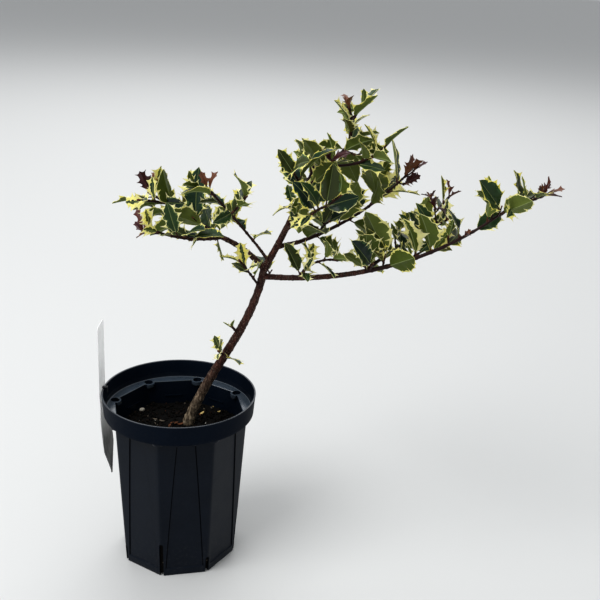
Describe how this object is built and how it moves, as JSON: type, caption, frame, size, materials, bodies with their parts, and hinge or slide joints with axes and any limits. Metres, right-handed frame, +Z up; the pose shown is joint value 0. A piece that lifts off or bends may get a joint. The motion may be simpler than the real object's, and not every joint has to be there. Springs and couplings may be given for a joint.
{
  "type": "potted holly tree",
  "caption": "Young leaning variegated holly with spiny cream-edged leaves, in an eight-sided slit plant pot with soil and a blank hanging label.",
  "frame": {"origin": "centre of the pot's flat underside, on the ground", "axes": "+Z up, -Y towards the viewer's side of the picture, +X the way the trunk leans"},
  "size_m": [0.4112, 0.1833, 0.4711],
  "materials": {
    "pot_plastic": "satin",
    "soil": "matte",
    "label_plastic": "matte",
    "bark": "matte",
    "foliage": "satin"
  },
  "bodies": {
    "root": {"pot": "pot_plastic", "soil": "soil", "plant_label": "label_plastic", "trunk": "bark", "bough_leader": "bark", "bough_low_right": "bark", "bough_mid_right": "bark", "bough_left": "bark", "bough_upright_left": "bark", "bough_front": "bark", "bough_back": "bark", "foliage_top": "foliage", "foliage_crown_left": "foliage", "foliage_leader_low": "foliage", "foliage_mid_right": "foliage", "foliage_low_right": "foliage", "foliage_side": "foliage", "foliage_inner_right": "foliage", "foliage_left": "foliage", "foliage_far_left": "foliage", "foliage_upright_left": "foliage", "foliage_low_left": "foliage", "foliage_front": "foliage", "foliage_back": "foliage", "shoot_upper": "foliage", "shoot_lower": "foliage", "shoot_right": "foliage"}
  },
  "joints": []
}
